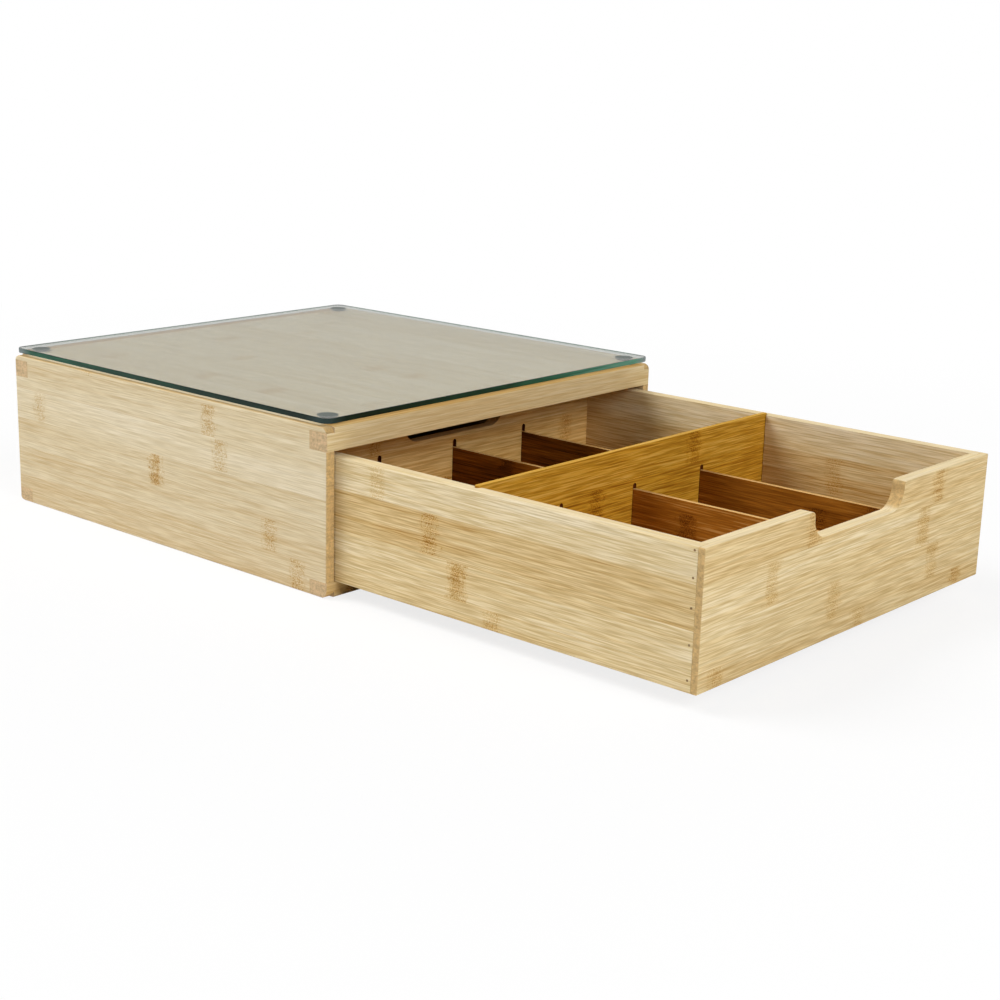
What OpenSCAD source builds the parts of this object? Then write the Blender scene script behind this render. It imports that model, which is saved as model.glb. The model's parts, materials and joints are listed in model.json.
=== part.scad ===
// Coffee capsule drawer: a flat bamboo case with a glass top, and a divided drawer
// that slides out of its front.
// Frame: origin at the centre of the case's footprint on the table, +Z up, the drawer opens toward -Y.
// All sizes are in millimetres. The drawer is drawn pulled open by open_distance.

/* [Case] */
// Width of the case, side to side
case_w = 320; // [260:1:400]
// Depth of the case, front to back
case_d = 325; // [320:1:400]
// Height of the case without its glass
case_h = 107; // [95:1:140]
// Thickness of the two side panels
side_t = 6.5; // [5:0.5:10]
// Depth of the four rails, front to back
rail_d = 15; // [12:0.5:20]
// Height of the two top rails
top_rail_h = 15; // [12:0.5:20]
// Height of the two bottom rails
bottom_rail_h = 10; // [8:0.5:14]
// Height of the side panel's lip above the end of a top rail
lip_h = 3.5; // [2:0.5:5]
// Thickness of the top panel
top_panel_t = 6; // [4:0.5:8]
// Thickness of the bottom panel
bottom_panel_t = 4; // [3:0.5:6]
// Thickness of the back panel
back_panel_t = 4; // [3:0.5:8]
// Width of the top and bottom panels' seats in the side panels
side_seat = 3; // [2:0.5:4]
// Width of the top and bottom panels' seats in the rails
rail_seat = 5; // [3:0.5:8]
// Width of the two runners under the drawer
runner_w = 10; // [9:0.5:20]
// Radius of the case's outer edges
case_edge_r = 1.25; // [0.5:0.25:2.5]
// Radius of the side panels' corners, seen from the side
side_corner_r = 5.5; // [3:0.5:8]

/* [Glass top] */
// Thickness of the glass
glass_t = 3.5; // [3:0.5:8]
// How far the glass stays inside the case's outline
glass_margin = 0.5; // [0:0.5:4]
// Radius of the glass's corners, seen from above
glass_corner_r = 6; // [3:0.5:12]
// Distance from the glass's edges to the centres of its discs
disc_inset = 13; // [10:0.5:25]
// Diameter of the discs under the glass
disc_dia = 13; // [12:0.5:18]
// Thickness of the discs
disc_t = 0.6; // [0.4:0.1:1]
// Diameter of the clear bumpers, at the discs
bumper_dia = 11; // [8:0.5:12]
// Diameter of the clear bumpers, where they stand on the case
bumper_foot_dia = 8; // [5:0.5:10]
// Height of the clear bumpers
bumper_h = 1.2; // [1:0.1:4]

/* [Drawer] */
// How far the drawer is pulled out
open_distance = 268; // [0:1:290]
// Gap between the drawer and each side panel
drawer_side_gap = 0.8; // [0.5:0.1:2]
// Gap between the drawer's top edge and the top rails
drawer_top_gap = 3; // [2:0.5:5]
// Gap between the closed drawer and the back panel
drawer_rear_gap = 1.5; // [1:0.5:5]
// Thickness of the drawer's four boards
board_t = 8.5; // [7:0.5:12]
// Thickness of the part of the end boards that covers the ends of the sides
end_lip_t = 4; // [3:0.5:6]
// Height of the drawer's floor above its bottom edge
floor_lift = 3; // [2:0.5:8]
// Thickness of the drawer's floor
floor_t = 2.5; // [2:0.5:5]
// Depth of the floor's grooves in the boards
floor_groove = 3; // [2:0.5:3]
// Radius of the drawer's outer edges
drawer_edge_r = 1; // [0.5:0.25:2]

/* [Pull notch] */
// Width of the notch between its upright walls
notch_w = 97; // [60:1:140]
// Depth of the notch below the board's top edge
notch_depth = 16.5; // [14:0.5:20]
// Radius of the notch's lower corners
notch_r = 12; // [4:0.5:13]
// Radius at the top of the notch's walls
notch_shoulder_r = 3; // [1:0.25:4]

/* [Dividers] */
// Thickness of the middle divider
middle_t = 3.5; // [3:0.5:8]
// How far the middle divider stands above the drawer's boards
middle_proud = 1.2; // [0:0.1:1.5]
// Depth of the middle divider's slots in the drawer's sides
middle_slot = 3; // [2:0.5:5]
// Clearance all round the middle divider in its slots
middle_fit = 0.3; // [0.2:0.1:0.6]
// Thickness of the small dividers
small_t = 3; // [2:0.5:5]
// How far the small dividers' tops lie below the drawer's top edge
small_drop = 26; // [24:0.5:35]
// Compartments that fit across the drawer when all its grooves are used
columns = 4; // [4:1:6]
// Depth of the small dividers' grooves in the end boards
end_groove = 2.5; // [1.5:0.25:3]
// Depth of the small dividers' grooves in each face of the middle divider
middle_groove = 0.9; // [0.7:0.1:1]
// Clearance of the small dividers on each side in their grooves
small_fit = 0.3; // [0.1:0.05:0.4]
// Height above the small dividers of their grooves in the end boards
end_groove_over = 5.5; // [2:0.5:7]
// Height above the small dividers of their grooves in the middle divider
middle_groove_over = 3.5; // [2:0.5:7]

/* [Brads] */
// Diameter of the brads
brad_dia = 1; // [0.8:0.1:1.2]
// Diameter of the brads' heads
brad_head_dia = 1.4; // [1.3:0.1:1.8]
// Thickness of the brads' heads
brad_head_t = 0.6; // [0.5:0.1:1.2]
// Length of the brads
brad_length = 18; // [15:1:25]
// How far the heads lie below the surface of the sides
brad_sink = 0.3; // [0.2:0.1:0.8]
// Clearance round the brads in their holes
brad_fit = 0.05; // [0.03:0.01:0.1]

/* [Hidden] */

// Colours, as the object shows them
bamboo = [0.87, 0.79, 0.64];
rail_bamboo = [0.75, 0.63, 0.44];
honey_bamboo = [0.68, 0.5, 0.2];
dark_bamboo = [0.46, 0.29, 0.12];
glass_green = [0.72, 0.78, 0.7, 0.6];
disc_grey = [0.6, 0.6, 0.58];
bumper_clear = [0.9, 0.92, 0.92, 0.5];
steel = [0.6, 0.57, 0.52];

// Steps in each quarter turn of a rounded outline, and sides of the round pieces
edge_steps = 4;
corner_steps = 10;
round_sides = 48;

// Extra length of every cut that runs out through a face
cut = 1;

// Inside of the case
opening_w = case_w - 2 * side_t;
opening_h = case_h - bottom_rail_h - top_rail_h;
between_rails = case_d - 2 * rail_d;
panel_w = opening_w + 2 * side_seat;
panel_d = between_rails + 2 * rail_seat;

// Glass
glass_w = case_w - 2 * glass_margin;
glass_d = case_d - 2 * glass_margin;
disc_z = case_h + bumper_h;
glass_z = disc_z + disc_t;

// Drawer, in its own frame: the front face at y = 0, the bottom edge at z = 0
drawer_w = opening_w - 2 * drawer_side_gap;
drawer_l = case_d - back_panel_t - drawer_rear_gap;
drawer_h = opening_h - drawer_top_gap;
inner_w = drawer_w - 2 * board_t;
floor_z = floor_lift + floor_t;
middle_y = drawer_l / 2;

// Dividers
column_pitch = inner_w / columns;
groove_xs = [for (i = [1 : columns - 1]) i * column_pitch - inner_w / 2];
divider_centre_x = groove_xs[floor((columns - 1) / 2)];
divider_right_x = groove_xs[columns - 2];
small_top = drawer_h - small_drop;
groove_w = small_t + 2 * small_fit;
small_start = board_t - end_groove + small_fit;
small_end = middle_y - middle_t / 2 + middle_groove - small_fit;
middle_half = inner_w / 2 + middle_slot - middle_fit;

// Brads at each corner of the drawer: shares of the height above the floor, driven unevenly by hand
brad_shares = [0.02, 0.28, 0.55, 0.77, 0.97];
brad_y = (end_lip_t + board_t) / 2;

// Points along an arc from angle a to angle b
function arc(x, y, r, a, b, steps) =
    [for (i = [0 : steps]) let (t = a + (b - a) * i / steps) [x + r * cos(t), y + r * sin(t)]];

// Outline of a rectangle with rounded corners, centred
function rounded_rectangle(w, h, r, steps) = concat(
    arc(w / 2 - r, h / 2 - r, r, 0, 90, steps),
    arc(r - w / 2, h / 2 - r, r, 90, 180, steps),
    arc(r - w / 2, r - h / 2, r, 180, 270, steps),
    arc(w / 2 - r, r - h / 2, r, 270, 360, steps));

// Outline of a bar with round ends, centred
function round_ended_bar(half_length, t) = concat(
    arc(half_length - t / 2, 0, t / 2, -90, 90, corner_steps),
    arc(t / 2 - half_length, 0, t / 2, 90, 270, corner_steps));

// Outline of a groove from height 0 to its round top
function groove_outline(w, top) = concat(
    [[-w / 2, 0], [w / 2, 0]],
    arc(0, top - w / 2, w / 2, 0, 180, corner_steps));

// Outline of an end board of width w, with the pull notch in its top edge
function end_outline(w) = let (
        wall = notch_w / 2,
        bottom = drawer_h - notch_depth,
        shoulder = drawer_h - notch_shoulder_r
    ) concat(
    [[-w / 2, 0], [w / 2, 0], [w / 2, drawer_h]],
    arc(wall + notch_shoulder_r, shoulder, notch_shoulder_r, 90, 180, edge_steps),
    arc(wall - notch_r, bottom + notch_r, notch_r, 0, -90, corner_steps),
    arc(notch_r - wall, bottom + notch_r, notch_r, -90, -180, corner_steps),
    arc(-wall - notch_shoulder_r, shoulder, notch_shoulder_r, 0, 90, edge_steps),
    [[-w / 2, drawer_h]]);

// A block centred on x and y that stands on height z
module block(w, d, h, z = 0) {
    translate([-w / 2, -d / 2, z]) cube([w, d, h]);
}

// An outline drawn in x and z, made solid from y = 0 to y = t
module upright(outline, t) {
    translate([0, t, 0]) rotate([90, 0, 0]) linear_extrude(t) polygon(outline);
}

// A bar along x whose cross-section has rounded corners, standing on z = 0
module rounded_bar(w, d, h, r, steps) {
    translate([-w / 2, 0, h / 2]) rotate([90, 0, 90])
        linear_extrude(w) polygon(rounded_rectangle(d, h, r, steps));
}

// A box with every edge rounded, centred on x and y and standing on z = 0
module eased_box(w, d, h, r) {
    intersection() {
        linear_extrude(h) polygon(rounded_rectangle(w, d, r, edge_steps));
        translate([0, d / 2, h / 2]) rotate([90, 0, 0])
            linear_extrude(d) polygon(rounded_rectangle(w, h, r, edge_steps));
        rounded_bar(w, d, h, r, edge_steps);
    }
}

// Keeps what lies inside the case's outer shape: eased edges, and round corners on both sides
module ease_case() {
    intersection() {
        children();
        eased_box(case_w, case_d, case_h, case_edge_r);
        union() {
            block(opening_w, case_d, case_h);
            rounded_bar(case_w, case_d, case_h, side_corner_r, corner_steps);
        }
    }
}

// Keeps what lies inside the drawer's eased outer shape
module ease_drawer() {
    intersection() {
        children();
        translate([0, drawer_l / 2, 0]) eased_box(drawer_w, drawer_l, drawer_h, drawer_edge_r);
    }
}

// Moves a piece from the drawer's own frame to where the drawer stands
module in_drawer() {
    translate([0, -case_d / 2 - open_distance, bottom_rail_h]) children();
}

// Space of the top panel, flush with the case's top
module top_panel_space(extra = 0) {
    block(panel_w, panel_d, top_panel_t + extra, case_h - top_panel_t);
}

// Space of the bottom panel, flush with the case's underside
module bottom_panel_space(extra = 0) {
    block(panel_w, panel_d, bottom_panel_t + extra, -extra);
}

// Space of the top rails' ends in the side panels, both front and rear
module top_finger_space() {
    for (end = [-1, 1])
        translate([0, end * (case_d - rail_d + cut) / 2, 0])
            block(case_w + 2 * cut, rail_d + cut, top_rail_h - lip_h, case_h - top_rail_h);
}

// Space of the bottom rails' ends in the side panels, both front and rear
module bottom_finger_space() {
    for (end = [-1, 1])
        translate([0, end * (case_d - rail_d + cut) / 2, 0])
            block(case_w + 2 * cut, rail_d + cut, bottom_rail_h + cut, -cut);
}

module side_panel(side) {
    ease_case() difference() {
        translate([side * (case_w - side_t) / 2, 0, 0]) block(side_t, case_d, case_h);
        top_finger_space();
        bottom_finger_space();
        top_panel_space(cut);
        bottom_panel_space(cut);
    }
}

module top_rail(end) {
    ease_case() difference() {
        translate([0, end * (case_d - rail_d) / 2, 0]) {
            block(opening_w, rail_d, top_rail_h, case_h - top_rail_h);
            block(case_w, rail_d, top_rail_h - lip_h, case_h - top_rail_h);
        }
        top_panel_space(cut);
    }
}

module bottom_rail(end) {
    ease_case() difference() {
        translate([0, end * (case_d - rail_d) / 2, 0]) block(case_w, rail_d, bottom_rail_h);
        bottom_panel_space(cut);
    }
}

module runner(side) {
    translate([side * (opening_w - runner_w) / 2, 0, 0])
        block(runner_w, between_rails, bottom_rail_h - bottom_panel_t, bottom_panel_t);
}

module left_side_panel() { color(bamboo) side_panel(-1); }

module right_side_panel() { color(bamboo) side_panel(1); }

module front_top_rail() { color(rail_bamboo) top_rail(-1); }

module rear_top_rail() { color(rail_bamboo) top_rail(1); }

module front_bottom_rail() { color(rail_bamboo) bottom_rail(-1); }

module rear_bottom_rail() { color(rail_bamboo) bottom_rail(1); }

module top_panel() { color(bamboo) top_panel_space(); }

module bottom_panel() { color(bamboo) bottom_panel_space(); }

module back_panel() {
    color(bamboo) translate([0, (case_d - back_panel_t) / 2, 0])
        block(opening_w, back_panel_t, opening_h, bottom_rail_h);
}

module left_runner() { color(rail_bamboo) runner(-1); }

module right_runner() { color(rail_bamboo) runner(1); }

module glass_plate() {
    color(glass_green) translate([0, 0, glass_z]) linear_extrude(glass_t)
        polygon(rounded_rectangle(glass_w, glass_d, glass_corner_r, corner_steps));
}

// Repeats a piece under the four corners of the glass
module at_glass_corners() {
    for (x = [-1, 1], y = [-1, 1])
        translate([x * (glass_w / 2 - disc_inset), y * (glass_d / 2 - disc_inset), 0]) children();
}

module glass_discs() {
    color(disc_grey) at_glass_corners() translate([0, 0, disc_z])
        cylinder(h = disc_t, d = disc_dia, $fn = round_sides);
}

module glass_bumpers() {
    color(bumper_clear) at_glass_corners() translate([0, 0, case_h])
        cylinder(h = bumper_h, d1 = bumper_foot_dia, d2 = bumper_dia, $fn = round_sides);
}

// One brad driven in along x at a left-hand corner, with room added for its hole
module brad(room) {
    outer = -drawer_w / 2;
    head_end = brad_sink + brad_head_t;
    head_start = room > 0 ? -cut : brad_sink;
    translate([outer + brad_sink, 0, 0]) rotate([0, 90, 0])
        cylinder(h = brad_length + room, d = brad_dia + 2 * room, $fn = round_sides);
    translate([outer + head_start, 0, 0]) rotate([0, 90, 0])
        cylinder(h = head_end - head_start + room, d = brad_head_dia + 2 * room, $fn = round_sides);
}

// The brads at both ends of the drawer's front board
module front_brad_set(room = 0) {
    for (side = [0, 1], share = brad_shares)
        mirror([side, 0, 0]) translate([0, brad_y, floor_z + share * (drawer_h - floor_z)]) brad(room);
}

// Turns what belongs to the drawer's front end round to its back end
module at_back() {
    translate([0, drawer_l, 0]) mirror([0, 1, 0]) children();
}

// The grooves for small dividers, cut into a face at y = 0 to a depth, from the floor to some way over them
module groove_set(depth, over) {
    outline = groove_outline(groove_w, small_top + over - floor_lift);
    for (x = groove_xs)
        translate([x, -depth, floor_lift]) upright(outline, depth + cut);
}

// Space of the floor in the four boards
module floor_space() {
    translate([0, drawer_l / 2, 0])
        block(inner_w + 2 * floor_groove, drawer_l - 2 * board_t + 2 * floor_groove, floor_t, floor_lift);
}

// Board that closes one end of the drawer, drawn at the front
module end_board() {
    ease_drawer() difference() {
        union() {
            upright(end_outline(drawer_w), end_lip_t);
            upright(end_outline(inner_w), board_t);
        }
        translate([0, board_t, 0]) groove_set(end_groove, end_groove_over);
        floor_space();
        front_brad_set(brad_fit);
    }
}

// Outline of the middle divider from above, or of its slots
module middle_bar(room, z, h) {
    translate([0, middle_y, z]) linear_extrude(h)
        polygon(round_ended_bar(middle_half + room, middle_t + 2 * room));
}

module drawer_side(side) {
    length = drawer_l - 2 * end_lip_t;
    ease_drawer() difference() {
        translate([side * (drawer_w - board_t) / 2, drawer_l / 2, 0]) block(board_t, length, drawer_h);
        middle_bar(middle_fit, floor_z, drawer_h);
        floor_space();
        front_brad_set(brad_fit);
        at_back() front_brad_set(brad_fit);
    }
}

module drawer_front() { color(bamboo) in_drawer() end_board(); }

module drawer_back() { color(bamboo) in_drawer() at_back() end_board(); }

module drawer_left_side() { color(bamboo) in_drawer() drawer_side(-1); }

module drawer_right_side() { color(bamboo) in_drawer() drawer_side(1); }

module drawer_floor() { color(honey_bamboo) in_drawer() floor_space(); }

module front_brads() { color(steel) in_drawer() front_brad_set(); }

module back_brads() { color(steel) in_drawer() at_back() front_brad_set(); }

module middle_divider() {
    color(honey_bamboo) in_drawer() difference() {
        middle_bar(0, floor_z, drawer_h + middle_proud - floor_z);
        translate([0, middle_y, 0]) for (face = [0, 1]) mirror([0, face, 0])
            translate([0, middle_t / 2, 0]) groove_set(middle_groove, middle_groove_over);
    }
}

// A small divider of the front row at a place across the drawer
module small_divider(x) {
    translate([x - small_t / 2, small_start, floor_z])
        cube([small_t, small_end - small_start, small_top - floor_z]);
}

module front_divider_centre() { color(dark_bamboo) in_drawer() small_divider(divider_centre_x); }

module front_divider_right() { color(dark_bamboo) in_drawer() small_divider(divider_right_x); }

module back_divider_centre() { color(dark_bamboo) in_drawer() at_back() small_divider(divider_centre_x); }

module back_divider_right() { color(dark_bamboo) in_drawer() at_back() small_divider(divider_right_x); }

left_side_panel();
right_side_panel();
front_top_rail();
rear_top_rail();
front_bottom_rail();
rear_bottom_rail();
top_panel();
bottom_panel();
back_panel();
left_runner();
right_runner();
glass_plate();
glass_discs();
glass_bumpers();
drawer_front();
drawer_back();
drawer_left_side();
drawer_right_side();
drawer_floor();
front_brads();
back_brads();
middle_divider();
front_divider_centre();
front_divider_right();
back_divider_centre();
back_divider_right();
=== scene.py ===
"""Looks of the coffee capsule drawer: bamboo boards, glass top, studio light and camera."""
import json
import math
import random
from collections import namedtuple

import bmesh
import bpy
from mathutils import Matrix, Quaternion, Vector


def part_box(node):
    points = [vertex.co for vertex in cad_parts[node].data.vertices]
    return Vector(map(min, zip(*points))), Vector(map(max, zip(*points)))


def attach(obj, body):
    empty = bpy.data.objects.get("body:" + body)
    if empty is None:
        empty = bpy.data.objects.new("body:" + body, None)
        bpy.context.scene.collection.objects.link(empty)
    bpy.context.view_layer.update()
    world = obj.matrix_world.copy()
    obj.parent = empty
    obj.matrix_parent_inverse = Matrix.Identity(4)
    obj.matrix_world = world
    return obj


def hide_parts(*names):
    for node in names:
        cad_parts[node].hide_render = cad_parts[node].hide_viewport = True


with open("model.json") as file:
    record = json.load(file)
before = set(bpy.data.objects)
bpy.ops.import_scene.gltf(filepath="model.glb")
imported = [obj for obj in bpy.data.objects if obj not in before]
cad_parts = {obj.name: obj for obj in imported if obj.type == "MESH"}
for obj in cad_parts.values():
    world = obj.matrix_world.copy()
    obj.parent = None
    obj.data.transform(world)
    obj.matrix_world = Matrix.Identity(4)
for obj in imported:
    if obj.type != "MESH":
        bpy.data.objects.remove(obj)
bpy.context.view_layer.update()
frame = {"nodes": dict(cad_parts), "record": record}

MM = 0.001
AXES = "xyz"

# Board is one piece of bamboo. Its fibres run along one axis, its strips lie side by side across another.
# Seams are the places, in mm, where strips meet. Tones run from 0, pale, to 1, deep, one per strip.
# Marks are the cane's joints: place along the fibres in mm, number of the strip, strength.
Board = namedtuple("Board", "wood along across seams tones marks")

# Wood is a kind of bamboo: its colours from pale to deep, how strong its fine fibres, its streaks and its
# slow drift are, its tone on narrow edges and the colour of its end grain.
Wood = namedtuple("Wood", "colours fibre streak drift edge_tone end_colour")

# NATURAL's deep edge tone is painted shade: it darkens the case's top rims as if in the glass plate's shadow.
NATURAL = Wood(
    colours=[(0.0, (240, 229, 206)), (0.35, (222, 205, 169)), (0.6, (206, 178, 131)),
             (0.8, (186, 141, 74)), (1.0, (142, 94, 38))],
    fibre=0.9, streak=0.4, drift=0.35, edge_tone=0.62, end_colour=(200, 168, 115))
GRAINY = NATURAL._replace(
    colours=[(0.0, (242, 230, 204)), (0.35, (224, 201, 152)), (0.6, (207, 173, 115)),
             (0.8, (184, 137, 66)), (1.0, (142, 94, 34))],
    fibre=1.4, streak=0.5, edge_tone=0.28)
# GRAINY with warmer, deeper colours, for the drawer's back board: painted warm shade of light bounced inside
# the drawer.
WARM_SHADE = GRAINY._replace(
    colours=[(0.0, (242, 226, 190)), (0.35, (226, 194, 132)), (0.6, (208, 164, 94)),
             (0.8, (182, 128, 54)), (1.0, (140, 86, 26))])
# RAIL's deep edge tone is painted shade: it darkens the rails' top faces as if in the glass plate's shadow.
RAIL = GRAINY._replace(fibre=0.8, edge_tone=0.7, end_colour=(206, 178, 138))
HONEY = Wood(
    colours=[(0.0, (220, 178, 92)), (0.4, (198, 147, 44)), (0.7, (166, 110, 24)), (1.0, (108, 64, 10))],
    fibre=2.2, streak=0.65, drift=0.3, edge_tone=0.25, end_colour=(180, 130, 44))
CARAMEL = Wood(
    colours=[(0.0, (226, 186, 122)), (0.4, (166, 106, 34)), (0.7, (124, 70, 16)), (1.0, (66, 28, 4))],
    fibre=1.3, streak=0.6, drift=0.4, edge_tone=0.08, end_colour=(150, 94, 34))

CASE_SEAMS = (19.5, 40.5, 62, 83.5, 104)
DRAWER_SEAMS = (21.5, 44, 69)
DIVIDER_SEAMS = (32, 55)
DRAWER_WALLS = ("drawer_front", "drawer_back", "drawer_left_side", "drawer_right_side")
# Boards with routed grooves, and how far below the board's top these end at least, in mm.
GROOVED = {"drawer_front": 17, "drawer_back": 17, "middle_divider": 3}
# Colour painted on the groove walls as shade.
PAINTED_GROOVE_SHADE = (84, 38, 12)
STRIP = 21
TONE_SPREAD = 0.07
MARK_STRENGTHS = (0.4, 0.9)


def strips_over(low, high):
    """Seams at the usual strip width between two places."""
    count = int((high - low) / STRIP)
    return tuple(low + STRIP * (i + 0.5) for i in range(count))


def made_up(seed, wood, along, across, seams, reach, tone, count):
    """A board with no grain read from the photo: tones near a given one, joints scattered by a fixed seed."""
    chance = random.Random(seed)
    tones = tuple(tone + chance.uniform(-TONE_SPREAD, TONE_SPREAD) for _ in range(len(seams) + 1))
    marks = [(chance.uniform(*reach), chance.randrange(len(tones)), chance.uniform(*MARK_STRENGTHS))
             for _ in range(count)]
    return Board(wood, along, across, seams, tones, marks)


BOARDS = {
    "left_side_panel": Board(
        NATURAL, "y", "z", CASE_SEAMS, (0.45, 0.42, 0.38, 0.28, 0.35, 0.4),
        [(134, 3, 0.5), (-52.5, 4, 0.65), (-62.7, 3, 0.65), (2.7, 2, 1.0), (-110.6, 1, 0.5),
         (-136, 0, 0.5), (75, 5, 0.4)]),
    "right_side_panel": made_up(3, NATURAL, "y", "z", CASE_SEAMS, (-150, 150), 0.4, 7),
    "front_top_rail": made_up(5, RAIL, "x", "z", (), (-150, 150), 0.36, 0),
    "rear_top_rail": made_up(7, RAIL, "x", "z", (), (-150, 150), 0.55, 2),
    "front_bottom_rail": made_up(8, RAIL, "x", "z", (), (-150, 150), 0.6, 2),
    "rear_bottom_rail": made_up(9, RAIL, "x", "z", (), (-150, 150), 0.55, 2),
    "top_panel": made_up(11, NATURAL, "y", "x", strips_over(-160, 160), (-150, 150), 0.31, 12),
    "bottom_panel": made_up(12, NATURAL, "y", "x", strips_over(-160, 160), (-150, 150), 0.45, 12),
    "back_panel": made_up(31, NATURAL, "x", "z", CASE_SEAMS, (-150, 150), 0.42, 6),
    "left_runner": made_up(14, RAIL, "y", "z", (), (-140, 140), 0.5, 1),
    "right_runner": made_up(15, RAIL, "y", "z", (), (-140, 140), 0.5, 1),
    "drawer_front": Board(
        GRAINY, "x", "z", DRAWER_SEAMS, (0.46, 0.42, 0.4, 0.47),
        [(-87.7, 2, 0.5), (-22.5, 1, 0.5), (75.3, 2, 0.6), (91.1, 3, 0.6), (89.4, 1, 0.5),
         (-49.1, 3, 0.5), (5.3, 0, 0.5), (122.8, 0, 0.6), (-136.8, 0, 0.5)]),
    "drawer_back": Board(
        WARM_SHADE, "x", "z", DRAWER_SEAMS, (0.48, 0.42, 0.4, 0.34),
        [(118.9, 2, 0.4), (-77, 3, 0.5), (-10, 1, 0.6), (60, 0, 0.6)]),
    "drawer_left_side": Board(
        GRAINY, "y", "z", DRAWER_SEAMS, (0.4, 0.37, 0.52, 0.29),
        [(-197.7, 3, 0.4), (-240.8, 2, 0.5), (-262.4, 1, 1.0), (-291, 0, 0.5)]),
    "drawer_right_side": Board(
        GRAINY, "y", "z", DRAWER_SEAMS, (0.5, 0.44, 0.46, 0.28),
        [(-328.7, 2, 0.3), (-182, 1, 0.5)]),
    "drawer_floor": made_up(21, HONEY, "x", "y", strips_over(-430, -110), (-140, 140), 0.5, 12),
    "front_divider_centre": made_up(22, CARAMEL, "y", "z", DIVIDER_SEAMS, (-410, -280), 0.5, 2),
    "front_divider_right": made_up(23, CARAMEL, "y", "z", DIVIDER_SEAMS, (-410, -280), 0.5, 2),
    # The back dividers' deeper tone, 0.75 against 0.5 in front, is painted shade of the case over them.
    "back_divider_centre": made_up(24, CARAMEL, "y", "z", DIVIDER_SEAMS, (-260, -125), 0.75, 2),
    "back_divider_right": made_up(25, CARAMEL, "y", "z", DIVIDER_SEAMS, (-260, -125), 0.75, 2),
    "middle_divider": Board(
        HONEY, "x", "z", (22, 44, 69), (0.5, 0.45, 0.5, 0.4), [(62, 3, 0.7), (-38, 2, 0.7), (100, 1, 0.6)]),
}


# Shader nodes


def linear(rgb):
    """Scene colour of an 8-bit screen colour."""
    parts = [c / 255 for c in rgb]
    return (*[p / 12.92 if p <= 0.04045 else ((p + 0.055) / 1.055) ** 2.4 for p in parts], 1.0)


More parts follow.
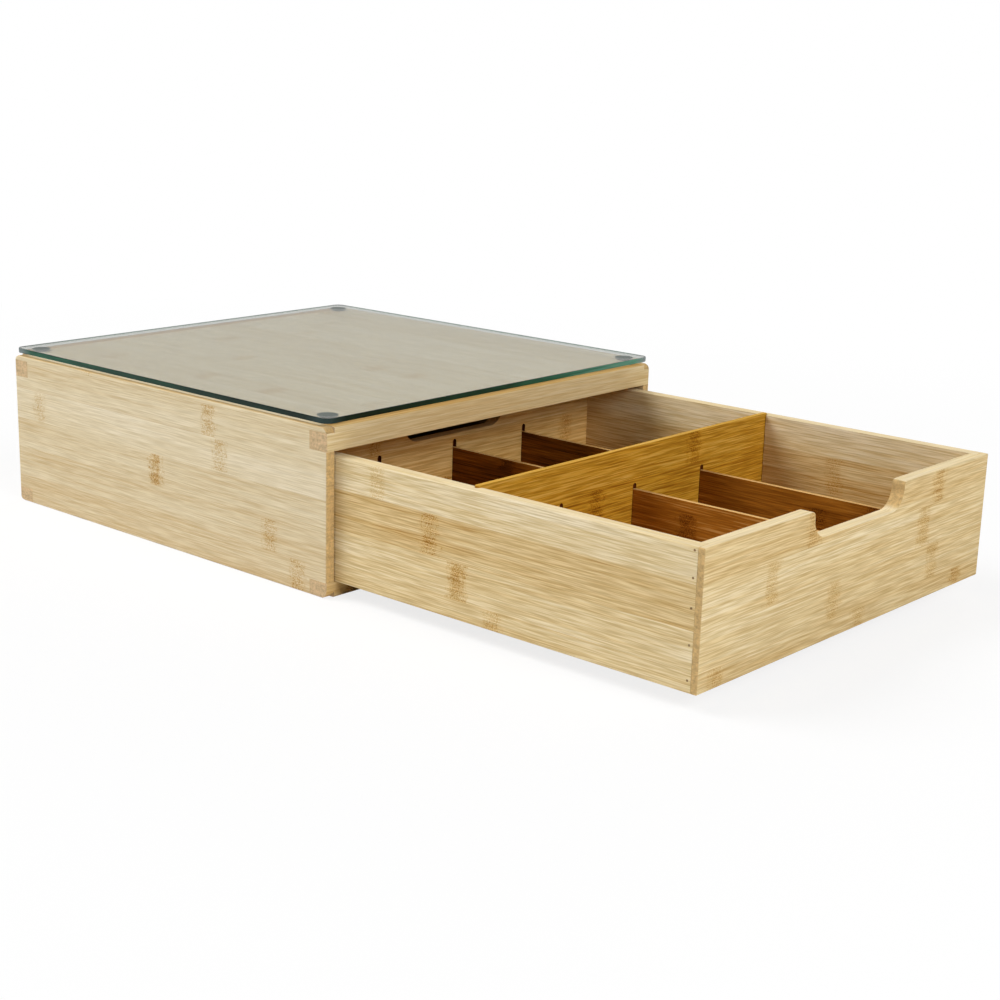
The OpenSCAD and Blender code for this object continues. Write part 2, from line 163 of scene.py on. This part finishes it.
class Graph:
    """One material and the nodes that feed its Principled shader."""

    def __init__(self, name):
        self.material = bpy.data.materials.new(name)
        self.material.use_nodes = True
        self.tree = self.material.node_tree
        self.shader = self.tree.nodes["Principled BSDF"]
        self.place = self.add("ShaderNodeTexCoord").outputs["Object"]
        self.facing = self.add("ShaderNodeTexCoord").outputs["Normal"]

    def add(self, kind, **settings):
        node = self.tree.nodes.new(kind)
        for key, value in settings.items():
            setattr(node, key, value)
        return node

    def feed(self, socket, value):
        """Links another node's output to a socket, or sets the socket to a plain value."""
        if isinstance(value, bpy.types.NodeSocket):
            self.tree.links.new(value, socket)
        else:
            socket.default_value = value

    def set(self, **values):
        """Sets or links the shader's own sockets; a socket's name has underscores for spaces."""
        for key, value in values.items():
            self.feed(self.shader.inputs[key.replace("_", " ")], value)

    def math(self, operation, *values):
        node = self.add("ShaderNodeMath", operation=operation)
        for socket, value in zip(node.inputs, values):
            self.feed(socket, value)
        return node.outputs[0]

    def axis(self, vector, letter):
        node = self.add("ShaderNodeSeparateXYZ")
        self.feed(node.inputs[0], vector)
        return node.outputs[AXES.index(letter)]

    def span(self, value, low, high, to_low=0.0, to_high=1.0):
        """Carries low..high over to to_low..to_high, and holds the ends."""
        node = self.add("ShaderNodeMapRange")
        for socket, number in zip(node.inputs, (value, low, high, to_low, to_high)):
            self.feed(socket, number)
        return node.outputs[0]

    def noise(self, sizes, detail=2.0):
        """Noise of about the given size in metres along x, y and z, from 0 to 1."""
        stretch = self.add("ShaderNodeMapping")
        self.feed(stretch.inputs["Vector"], self.place)
        self.feed(stretch.inputs["Scale"], [1 / size for size in sizes])
        node = self.add("ShaderNodeTexNoise")
        self.feed(node.inputs["Vector"], stretch.outputs[0])
        self.feed(node.inputs["Scale"], 1.0)
        self.feed(node.inputs["Detail"], detail)
        return node.outputs["Fac"]

    def weigh(self, start, *waves):
        """Adds each wave's swing about its middle, times its weight."""
        for wave, weight in waves:
            start = self.math("ADD", start, self.math("MULTIPLY_ADD", wave, weight, -0.5 * weight))
        return start

    def slide(self, letter, amount):
        """Moves all later noises along an axis by an amount that changes from strip to strip."""
        offset = self.add("ShaderNodeCombineXYZ")
        self.feed(offset.inputs[AXES.index(letter)], amount)
        total = self.add("ShaderNodeVectorMath", operation="ADD")
        self.feed(total.inputs[0], self.place)
        self.feed(total.inputs[1], offset.outputs[0])
        self.place = total.outputs[0]

    def dim(self, colour, factor):
        """A colour times a factor."""
        node = self.add("ShaderNodeVectorMath", operation="SCALE")
        self.feed(node.inputs[0], colour)
        self.feed(node.inputs["Scale"], factor)
        return node.outputs[0]

    def worn_and_highlit_edges(self, radius):
        """1 at the piece's edges, fading to 0 within the radius."""
        rounded = self.add("ShaderNodeBevel", samples=6)
        self.feed(rounded.inputs["Radius"], radius)
        agree = self.add("ShaderNodeVectorMath", operation="DOT_PRODUCT")
        self.feed(agree.inputs[0], rounded.outputs[0])
        self.feed(agree.inputs[1], self.add("ShaderNodeNewGeometry").outputs["True Normal"])
        return self.span(agree.outputs["Value"], 0.98, 0.8)

    def blend(self, share, first, second):
        node = self.add("ShaderNodeMix", data_type="FLOAT")
        for socket, value in zip(node.inputs, (share, None, first, second)):
            if value is not None:
                self.feed(socket, value)
        return node.outputs[0]

    def tint(self, share, first, second):
        """A colour between two others."""
        node = self.add("ShaderNodeMix", data_type="RGBA")
        for socket, value in zip((node.inputs[0], node.inputs[6], node.inputs[7]), (share, first, second)):
            self.feed(socket, value)
        return node.outputs[2]

    def ramp(self, value, stops, steps=False):
        node = self.add("ShaderNodeValToRGB")
        scale = node.color_ramp
        scale.interpolation = "CONSTANT" if steps else "LINEAR"
        while len(scale.elements) < len(stops):
            scale.elements.new(1.0)
        for element, (position, colour) in zip(scale.elements, stops):
            element.position = position
            element.color = colour
        self.feed(node.inputs[0], value)
        return node.outputs["Color"]

    def mix_in(self, share, other):
        """Shows a share of another shader in place of the Principled one."""
        mix = self.add("ShaderNodeMixShader")
        self.feed(mix.inputs[0], share)
        self.feed(mix.inputs[1], self.shader.outputs[0])
        self.feed(mix.inputs[2], other.outputs[0])
        self.feed(self.tree.nodes["Material Output"].inputs["Surface"], mix.outputs[0])

    def bump(self, height, depth, strength=1.0):
        """Relief of the given depth in metres."""
        node = self.add("ShaderNodeBump")
        self.feed(node.inputs["Height"], height)
        self.feed(node.inputs["Distance"], depth)
        self.feed(node.inputs["Strength"], strength)
        self.set(Normal=node.outputs["Normal"])


# Materials

# Noises of one board. Each weight below is how far a noise or a mask moves the tone, or the shade.
Grain = namedtuple("Grain", "fibres streak drift dots")
FIBRE_TONE = 0.14
FIBRE_SHADE = -0.13
PAINTED_SHADE_TONE = 0.4
JOINT_TONE = 0.28
STIPPLE = 1.1
WORN_AND_HIGHLIGHT_TONE = -0.08


def grain_sizes(along, length, width):
    """Noise sizes that are long in the fibres' direction and narrow across it."""
    return [length if letter == along else width for letter in AXES]


def strip_tones(graph, board, low, high):
    """Each strip's tone, with a thin glue line at the seams."""
    line = 0.2 * MM
    glue_tone = 0.06
    stops = [(0.0, board.tones[0])]
    for seam, tone in zip(board.seams, board.tones[1:]):
        for offset, value in ((-line, tone + glue_tone), (line, tone)):
            stops.append(((seam * MM + offset - low) / (high - low), value))
    share = graph.span(graph.axis(graph.place, board.across), low, high)
    return graph.ramp(share, [(p, (t, t, t, 1.0)) for p, t in stops], steps=True)


def joint_bars(graph, board, low, high):
    """Up to 1 in the ragged bars where the cane's joints cross a strip, and 0 elsewhere."""
    half_length = 6.5 * MM
    wander_reach = 8 * MM
    seam_border = 0.5 * MM
    edges = [low, *(seam * MM for seam in board.seams), high]
    ragged = graph.noise((4 * MM,) * 3, 2)
    wander = graph.math("MULTIPLY_ADD", ragged, 2 * wander_reach, -wander_reach)
    total = 0.0
    for place, strip, strength in board.marks:
        bottom, top = edges[strip], edges[strip + 1]
        along = graph.math("SUBTRACT", graph.axis(graph.place, board.along), place * MM)
        along = graph.math("ABSOLUTE", graph.math("ADD", along, wander))
        across = graph.math("SUBTRACT", graph.axis(graph.place, board.across), (bottom + top) / 2)
        across = graph.math("ABSOLUTE", across)
        near = graph.span(along, 1.3 * half_length, 0.4 * half_length)
        within = graph.span(across, (top - bottom) / 2, (top - bottom) / 2 - seam_border)
        bar = graph.math("MULTIPLY", graph.math("MULTIPLY", near, within), strength)
        total = graph.math("ADD", total, bar)
    return total


def end_grain(graph, board, dots):
    """Colour of the cut ends: thin layers across the strips, bundles of vessels, and pores."""
    sizes = [1.6 * MM if letter == board.across else 12 * MM for letter in AXES]
    layers = graph.noise(sizes, 2)
    bundles = graph.noise((1.8 * MM,) * 3, 2)
    shade = graph.weigh(1.0, (dots, 0.35), (layers, 0.6), (bundles, 0.8))
    return graph.dim(linear(board.wood.end_colour)[:3], shade)


def painted_inner_shade(graph):
    """Painted shade: 0 outside the drawer; on its inner faces it grows from 0 at the rim to 1 at the floor.
    """
    curve = 1.7
    low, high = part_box("drawer_floor")
    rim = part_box("drawer_left_side")[1][2]
    inwards = graph.add("ShaderNodeVectorMath", operation="SUBTRACT")
    graph.feed(inwards.inputs[0], [(a + b) / 2 for a, b in zip(low, high)])
    graph.feed(inwards.inputs[1], graph.place)
    agree = graph.add("ShaderNodeVectorMath", operation="DOT_PRODUCT")
    graph.feed(agree.inputs[0], graph.facing)
    graph.feed(agree.inputs[1], inwards.outputs[0])
    inside = graph.span(agree.outputs["Value"], 0.0, 0.02)
    depth = graph.span(graph.axis(graph.place, "z"), rim, high[2])
    return graph.math("MULTIPLY", inside, graph.math("POWER", depth, curve))


def routed(graph, name, board):
    """1 on the walls of the grooves that are cut into a board's broad faces, and 0 elsewhere."""
    border = 0.5 * MM
    low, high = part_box(name)
    top = high[2] - GROOVED[name] * MM
    bottom = low[2] + 5 * MM
    height = graph.axis(graph.place, "z")
    under_top = graph.span(height, top, top - border)
    over_floor = graph.span(height, bottom, bottom + border)
    total = graph.math("MULTIPLY", under_top, over_floor)
    thickness = next(letter for letter in AXES if letter not in (board.along, board.across))
    for letter, start, end in ((thickness, 0.25 * MM, 0.5 * MM), (board.along, 9 * MM, 10 * MM)):
        near, far = (corner[AXES.index(letter)] for corner in (low, high))
        offset = graph.math("SUBTRACT", graph.axis(graph.place, letter), (near + far) / 2)
        from_face = graph.math("SUBTRACT", (far - near) / 2, graph.math("ABSOLUTE", offset))
        total = graph.math("MULTIPLY", total, graph.span(from_face, start, end))
    return total


def wood_grain(graph, along):
    """The wood's noises: fine fibres, streaks, slow drift and dots."""
    fibres = graph.noise(grain_sizes(along, 24 * MM, 0.8 * MM), 2)
    return Grain(fibres=graph.span(fibres, 0.36, 0.64),
                 streak=graph.noise(grain_sizes(along, 90 * MM, 2.2 * MM), 3),
                 drift=graph.noise(grain_sizes(along, 200 * MM, 12 * MM), 2),
                 dots=graph.noise((0.7 * MM,) * 3, 1))


def long_grain(graph, wood, grain, tone, joints, narrow):
    """Colour along the fibres: the given tone with grain, stippled joints, narrow edges, and corners paler
    partly from wear and partly as painted highlight.
    """
    tone = graph.weigh(tone, (grain.fibres, FIBRE_TONE * wood.fibre), (grain.streak, wood.streak),
                       (grain.drift, wood.drift))
    tone = graph.math("MULTIPLY_ADD", joints, JOINT_TONE, tone)
    speckled = graph.span(joints, 0.08, 0.42)
    tone = graph.math("ADD", tone, graph.math("MULTIPLY", speckled, graph.weigh(0.0, (grain.dots, STIPPLE))))
    tone = graph.blend(narrow, tone, graph.weigh(wood.edge_tone, (grain.streak, wood.streak)))
    # Paler edges: partly wear, partly painted highlight.
    tone = graph.math("MULTIPLY_ADD", graph.worn_and_highlit_edges(0.8 * MM), WORN_AND_HIGHLIGHT_TONE, tone)
    shade = graph.weigh(1.0, (grain.fibres, FIBRE_SHADE * wood.fibre))
    return graph.dim(graph.ramp(tone, [(p, linear(c)) for p, c in wood.colours]), shade)


def bamboo(name, board):
    """Bamboo with strips, fibres, streaks, stippled joints, end grain, paler edges partly worn and partly
    painted highlight, and painted shade in the grooves and on the drawer's inner faces.
    """
    graph = Graph(name)
    low, high = (corner[AXES.index(board.across)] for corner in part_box(name))
    strips = strip_tones(graph, board, low, high)
    joints = joint_bars(graph, board, low, high)
    narrow = graph.span(graph.math("ABSOLUTE", graph.axis(graph.facing, board.across)), 0.6, 0.85)
    end = graph.span(graph.math("ABSOLUTE", graph.axis(graph.facing, board.along)), 0.3, 0.65)
    tone = strips
    if name in DRAWER_WALLS:
        # Painted shade: the inner faces of the drawer's walls deepen towards the floor.
        tone = graph.math("MULTIPLY_ADD", painted_inner_shade(graph), PAINTED_SHADE_TONE, tone)
    groove_shade_mask = routed(graph, name, board) if name in GROOVED else None
    graph.slide(board.along, graph.math("MULTIPLY", strips, 10.0))

    grain = wood_grain(graph, board.along)
    colour = long_grain(graph, board.wood, grain, tone, joints, narrow)
    colour = graph.tint(end, colour, end_grain(graph, board, grain.dots))
    if groove_shade_mask is not None:
        # Painted shade on the groove walls.
        colour = graph.tint(groove_shade_mask, colour, linear(PAINTED_GROOVE_SHADE))
    graph.set(Base_Color=colour, Specular_IOR_Level=0.1)
    graph.set(Roughness=graph.span(grain.streak, 0.3, 0.7, 0.5, 0.68))
    graph.bump(graph.math("ADD", grain.fibres, graph.math("MULTIPLY", grain.dots, 0.3)), -0.05 * MM)
    return graph.material


def glass_face():
    """Clear glass with a slight warm grey tint and faint smears."""
    graph = Graph("glass_face")
    graph.set(Base_Color=linear((217, 219, 213)), Transmission_Weight=1.0, IOR=1.3)
    smears = graph.noise((0.12, 0.02, 0.02), 3)
    graph.set(Roughness=graph.span(smears, 0.35, 0.7, 0.01, 0.03))
    clear = graph.add("ShaderNodeBsdfTransparent")
    graph.feed(clear.inputs["Color"], (0.98, 0.98, 0.97, 1.0))
    graph.mix_in(graph.add("ShaderNodeLightPath").outputs["Is Shadow Ray"], clear)
    return graph.material


def glass_edge():
    """The ground edge: the glass's own green, with painted shade deep at its left front corner and paler
    towards the far corners, and painted grey at the corners where the discs show through.
    """
    graph = Graph("glass_edge")
    bands = graph.noise((0.03, 0.03, 0.0015), 2)
    x, y = (graph.axis(graph.place, letter) for letter in "xy")
    along = graph.math("MULTIPLY_ADD", y, 0.6, x)
    pale = graph.weigh(graph.span(along, -0.26, 0.03), (bands, 0.5))
    greens = graph.ramp(pale, [(0.1, linear((18, 36, 28))), (0.5, linear((28, 64, 48))),
                               (0.8, linear((44, 106, 80))), (1.0, linear((92, 150, 126)))])
    # Painted grey at the corners: the discs as seen through the rounded corners.
    painted_corner_greys = graph.ramp(pale, [(0.1, linear((44, 60, 57))), (1.0, linear((138, 150, 150)))])
    reach = [graph.math("ABSOLUTE", place) for place in (x, y)]
    corner = graph.span(graph.math("MINIMUM", *reach), 0.143, 0.154)
    graph.set(Base_Color=graph.tint(corner, greens, painted_corner_greys), Specular_IOR_Level=0.15)
    graph.set(Roughness=graph.span(bands, 0.3, 0.7, 0.12, 0.25))
    return graph.material


def grey_disc():
    """Soft grey plastic with a fine moulded grain."""
    graph = Graph("grey_disc")
    grain = graph.noise((0.0006, 0.0006, 0.0006), 2)
    graph.set(Base_Color=graph.ramp(grain, [(0.3, linear((76, 90, 82))), (0.7, linear((102, 116, 106)))]))
    graph.set(Roughness=graph.span(grain, 0.3, 0.7, 0.35, 0.5))
    graph.bump(grain, 0.03 * MM)
    return graph.material


def clear_rubber():
    """Clear soft rubber, slightly cloudy."""
    graph = Graph("clear_rubber")
    cloud = graph.noise((0.003, 0.003, 0.003), 2)
    graph.set(Base_Color=linear((236, 240, 238)), Transmission_Weight=0.9, IOR=1.41)
    graph.set(Roughness=graph.span(cloud, 0.3, 0.7, 0.08, 0.2))
    return graph.material


def dull_steel():
    """Brad steel, darkened and uneven."""
    graph = Graph("dull_steel")
    stain = graph.noise((0.0008, 0.0008, 0.0008), 2)
    graph.set(Base_Color=graph.ramp(stain, [(0.3, linear((134, 104, 70))), (0.7, linear((172, 142, 104)))]))
    graph.set(Metallic=0.5, Roughness=graph.span(stain, 0.3, 0.7, 0.35, 0.55))
    return graph.material


# Pieces

CORNER_ANGLE = math.radians(40)
FLAT_ANGLE = math.radians(1)
MERGE = 1e-6
BOARD_EASE = 0.25 * MM
SHORT_EDGE = 0.3 * MM
# The rails' round ends meet their flat faces in short edges, and easing these would throw out spikes.
RAIL_SHORT_EDGE = 2 * MM
BODY_OF = {node: body for body, nodes in frame["record"]["behaviour"]["bodies"].items() for node in nodes}


def is_corner(edge):
    return edge.is_manifold and edge.calc_face_angle() > CORNER_ANGLE


def sharp_edges(shape, shortest):
    """Edges that a hand would ease: clear corners, but not the short edges of nail holes or small rounds."""
    return [edge for edge in shape.edges if is_corner(edge) and edge.calc_length() > shortest]


def eased_piece(node, materials, width, shortest=SHORT_EDGE):
    """A copy of a CAD node with its sharp edges eased, which stands for the node."""
    mesh = frame["nodes"][node].data.copy()
    shape = bmesh.new()
    shape.from_mesh(mesh)
    bmesh.ops.remove_doubles(shape, verts=shape.verts, dist=MERGE)
    bmesh.ops.dissolve_limit(shape, angle_limit=FLAT_ANGLE, verts=shape.verts, edges=shape.edges)
    bmesh.ops.bevel(shape, geom=sharp_edges(shape, shortest), offset=width, offset_type="OFFSET", segments=2,
                    profile=0.5, affect="EDGES", clamp_overlap=False)
    bmesh.ops.remove_doubles(shape, verts=shape.verts, dist=MERGE)
    bmesh.ops.dissolve_degenerate(shape, edges=shape.edges, dist=MERGE)
    for edge in shape.edges:
        edge.smooth = not is_corner(edge)
    shape.to_mesh(mesh)
    shape.free()
    mesh.materials.clear()
    for material in materials:
        mesh.materials.append(material)
    mesh.shade_smooth()
    piece = bpy.data.objects.new(f"eased_{node}", mesh)
    bpy.context.scene.collection.objects.link(piece)
    piece.modifiers.new("even shading", "WEIGHTED_NORMAL").keep_sharp = True
    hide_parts(node)
    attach(piece, BODY_OF[node])
    return piece


def build_boards():
    for node, board in BOARDS.items():
        shortest = RAIL_SHORT_EDGE if board.wood is RAIL else SHORT_EDGE
        eased_piece(node, [bamboo(node, board)], BOARD_EASE, shortest)


def build_glass():
    plate = eased_piece("glass_plate", [glass_face(), glass_edge()], 0.45 * MM)
    for face in plate.data.polygons:
        face.material_index = 0 if abs(face.normal.z) > 0.7 else 1
    eased_piece("glass_discs", [grey_disc()], 0.15 * MM)
    eased_piece("glass_bumpers", [clear_rubber()], 0.4 * MM)


def build_brads():
    steel = dull_steel()
    for node in ("front_brads", "back_brads"):
        eased_piece(node, [steel], 0.15 * MM)


# Studio

CAMERA_PLACE = (-0.86606, -0.91125, 0.33757)
CAMERA_AZIMUTH = math.radians(-47.0988)
CAMERA_ELEVATION = math.radians(15.0329)
CAMERA_ROLL = math.radians(1.1396)
CAMERA_LENS = 63.678
CAMERA_SHIFT = (0.0606, 0.0041)
AMBIENT = 0.07
MIRRORED = 0.4
FLOOR_REACH = 6.0
LAMP_AIM = (0.0, -0.15, 0.05)


def build_camera():
    """The photo's viewpoint, found by fitting its straight edges."""
    level = math.cos(CAMERA_ELEVATION)
    back = Vector((math.sin(CAMERA_AZIMUTH) * level, -math.cos(CAMERA_AZIMUTH) * level,
                   math.sin(CAMERA_ELEVATION)))
    camera = bpy.data.objects.new("camera", bpy.data.cameras.new("camera"))
    bpy.context.scene.collection.objects.link(camera)
    camera.location = CAMERA_PLACE
    camera.rotation_mode = "QUATERNION"
    camera.rotation_quaternion = (-back).to_track_quat("-Z", "Y") @ Quaternion((0, 0, 1), CAMERA_ROLL)
    camera.data.sensor_width = 36
    camera.data.lens = CAMERA_LENS
    camera.data.shift_x, camera.data.shift_y = CAMERA_SHIFT
    bpy.context.scene.camera = camera


def seen_directly(tree):
    """1 for rays that show the background straight or through glass, less in reflections, 0 for light."""
    path = tree.nodes.new("ShaderNodeLightPath")

    def join(operation, first, second):
        step = tree.nodes.new("ShaderNodeMath")
        step.operation = operation
        tree.links.new(first, step.inputs[0])
        if isinstance(second, float):
            step.inputs[1].default_value = second
        else:
            tree.links.new(second, step.inputs[1])
        return step.outputs[0]

    shown = join("MAXIMUM", path.outputs["Is Camera Ray"], path.outputs["Is Transmission Ray"])
    shown = join("MAXIMUM", shown, join("MULTIPLY", path.outputs["Is Glossy Ray"], MIRRORED))
    first = join("LESS_THAN", path.outputs["Diffuse Depth"], 0.5)
    return join("MULTIPLY", shown, first)


def build_world():
    """White where it is seen, softer where it lights the object."""
    world = bpy.data.worlds.new("studio")
    bpy.context.scene.world = world
    world.use_nodes = True
    tree = world.node_tree
    background = tree.nodes["Background"]
    background.inputs["Color"].default_value = (1.0, 1.0, 1.0, 1.0)
    level = tree.nodes.new("ShaderNodeMapRange")
    level.inputs["To Min"].default_value = AMBIENT
    tree.links.new(seen_directly(tree), level.inputs["Value"])
    tree.links.new(level.outputs[0], background.inputs["Strength"])


def build_floor():
    """A pale floor that is near white to the eye and keeps a light shadow."""
    mesh = bpy.data.meshes.new("floor")
    corners = [(x * FLOOR_REACH, y * FLOOR_REACH, 0) for x, y in ((-1, -1), (1, -1), (1, 1), (-1, 1))]
    mesh.from_pydata(corners, [], [(0, 1, 2, 3)])
    floor = bpy.data.objects.new("floor", mesh)
    bpy.context.scene.collection.objects.link(floor)
    graph = Graph("floor")
    graph.set(Base_Color=(0.9, 0.9, 0.9, 1.0), Roughness=0.9)
    glow = graph.add("ShaderNodeEmission")
    away = graph.add("ShaderNodeVectorMath", operation="LENGTH")
    graph.feed(away.inputs[0], graph.place)
    whiteness = graph.span(away.outputs["Value"], 0.3, 1.0, 0.8, 1.0)
    share = graph.math("MULTIPLY", seen_directly(graph.tree), whiteness)
    graph.mix_in(share, glow)
    mesh.materials.append(graph.material)


def area_lamp(name, place, size, power):
    lamp = bpy.data.objects.new(name, bpy.data.lights.new(name, "AREA"))
    bpy.context.scene.collection.objects.link(lamp)
    lamp.location = place
    lamp.rotation_euler = (Vector(LAMP_AIM) - Vector(place)).to_track_quat("-Z", "Y").to_euler()
    lamp.data.shape = "DISK"
    lamp.data.size = size
    lamp.data.energy = power
    lamp.visible_camera = False
    lamp.visible_glossy = False
    lamp.visible_transmission = False


def build_lamps():
    area_lamp("key", place=(-1.35, 1.6, 2.5), size=2.1, power=98)
    area_lamp("fill", place=(-0.4, -2.3, 1.5), size=1.6, power=40)
    area_lamp("side", place=(2.1, 0.4, 0.55), size=0.8, power=22)


build_boards()
build_glass()
build_brads()
build_camera()
build_world()
build_floor()
build_lamps()
bpy.context.scene.view_settings.view_transform = "Standard"
